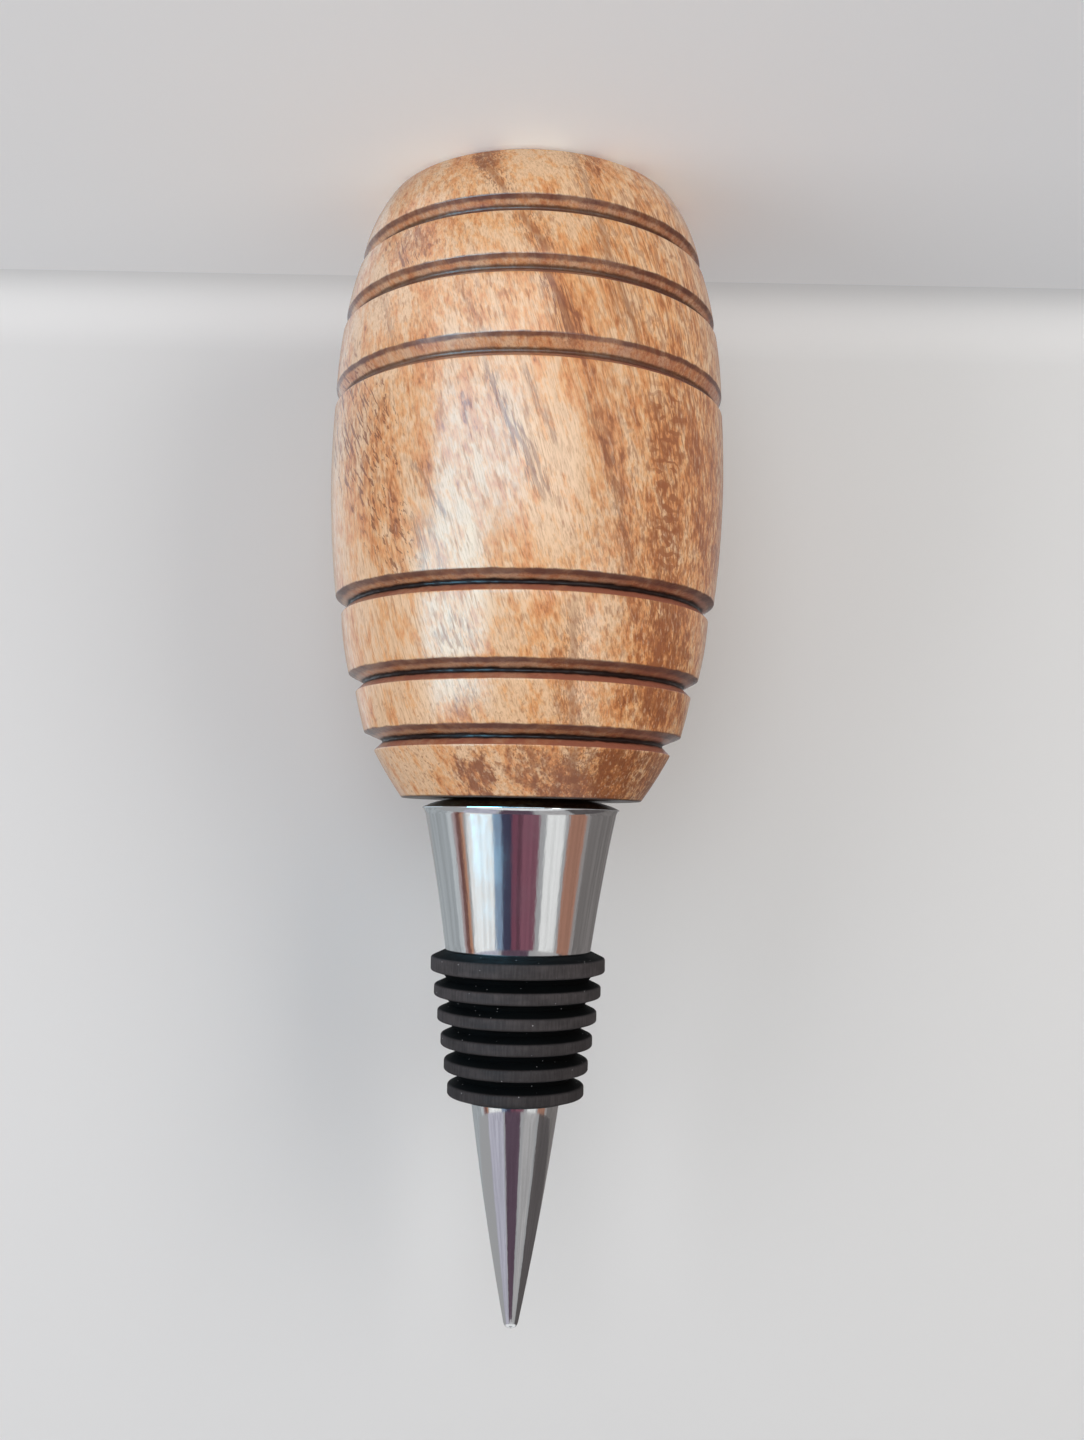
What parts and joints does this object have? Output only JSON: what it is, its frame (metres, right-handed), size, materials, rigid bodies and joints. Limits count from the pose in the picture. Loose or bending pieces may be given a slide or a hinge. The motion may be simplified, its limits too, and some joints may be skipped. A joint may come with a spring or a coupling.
{
  "type": "bottle stopper",
  "caption": "Bottle stopper with a turned, barrel-shaped wooden head with burned grooves, a chrome cone and point, and a ribbed silicone sleeve that seals the bottle's neck.",
  "frame": {"origin": "centre of the wooden head's flat face, which the stopper stands on", "axes": "+Z along the axis of revolution, from the head towards the pointed tip"},
  "size_m": [0.0508, 0.0508, 0.1427],
  "materials": {
    "turned_wood": "clear gloss over golden-brown wood, with burned black lines in the grooves",
    "stud_steel": "plain turned steel",
    "chrome_plate": "polished plate",
    "black_silicone": "matt moulded"
  },
  "bodies": {
    "root": {"barrel_head": "turned_wood", "threaded_stud": "stud_steel", "chrome_stopper": "chrome_plate", "ribbed_sleeve": "black_silicone"}
  },
  "joints": []
}
